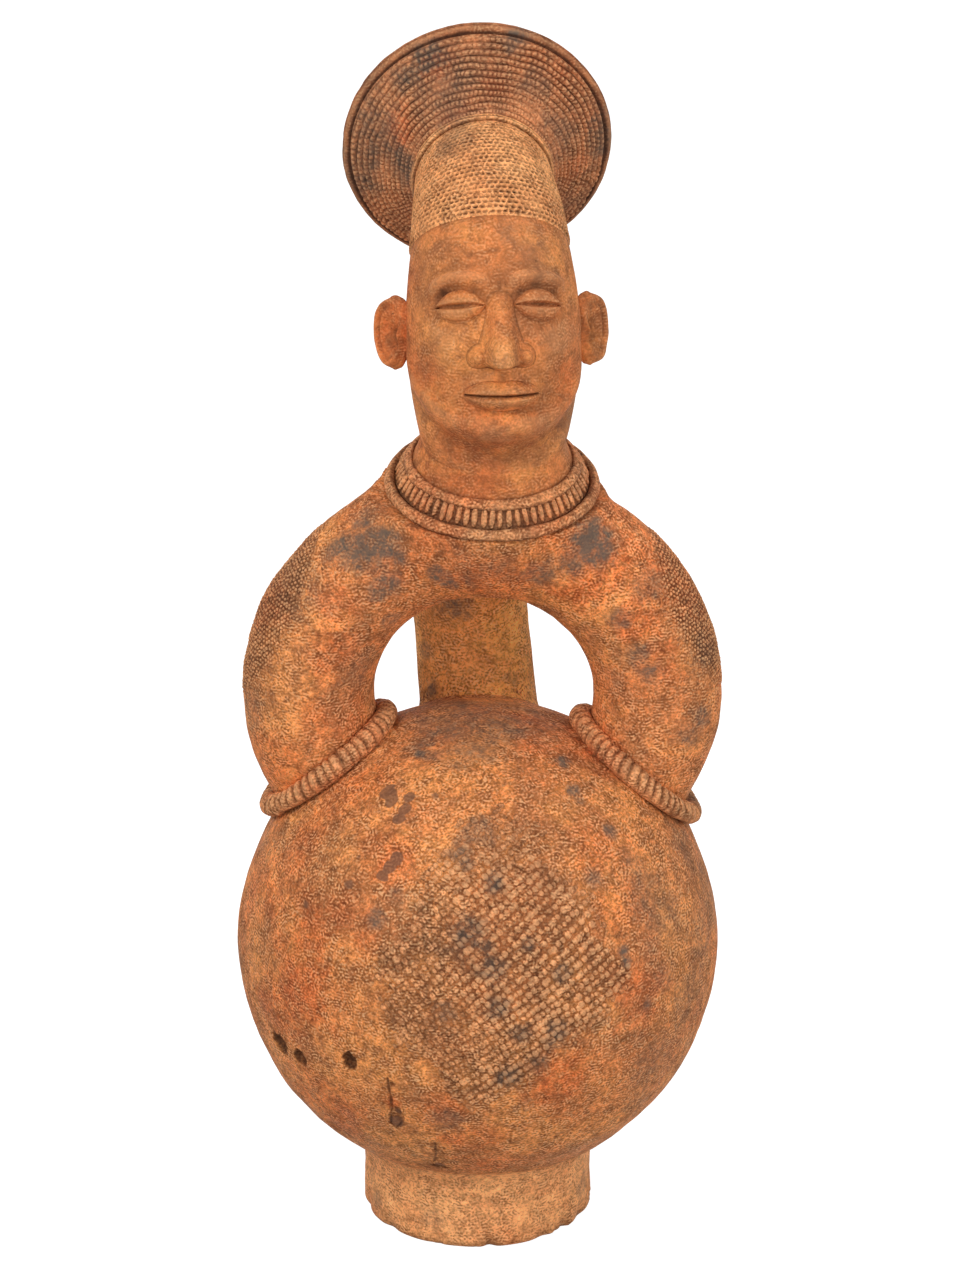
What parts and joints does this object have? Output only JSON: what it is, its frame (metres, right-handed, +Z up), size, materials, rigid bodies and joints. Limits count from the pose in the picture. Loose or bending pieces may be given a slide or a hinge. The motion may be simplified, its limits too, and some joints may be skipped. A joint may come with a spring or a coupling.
{
  "type": "anthropomorphic jar",
  "caption": "Hand-built earthenware jar: a globe on a ring foot, two arms and a rear column rising to shoulders, a collared neck, and a head whose swept-back hair flares into the mouth.",
  "frame": {"origin": "on the floor under the middle of the globe and of its ring foot", "axes": "+Z up, the figure faces -Y, its left side is at +X"},
  "size_m": [0.2093, 0.2092, 0.5175],
  "materials": {
    "clay": "unglazed, burnished by hand, mottled by the fire",
    "pale_clay": "unglazed, paler where the fire was clean",
    "smoked_clay": "unglazed, darkened by smoke"
  },
  "bodies": {
    "root": {"foot_ring": "pale_clay", "jar_body": "clay", "left_arm": "clay", "right_arm": "clay", "left_cuff": "clay", "right_cuff": "clay", "rear_column": "pale_clay", "shoulders": "clay", "neck": "clay", "collar_lower_rim": "clay", "collar_band": "clay", "collar_upper_rim": "clay", "head": "clay", "left_ear": "clay", "right_ear": "clay", "nose": "clay", "upper_lip": "clay", "lower_lip": "clay", "left_upper_eyelid": "clay", "left_lower_eyelid": "clay", "right_upper_eyelid": "clay", "right_lower_eyelid": "clay", "coiffure_drum": "pale_clay", "halo_base_coil": "pale_clay", "coiffure_halo": "smoked_clay", "halo_rim": "smoked_clay"}
  },
  "joints": []
}
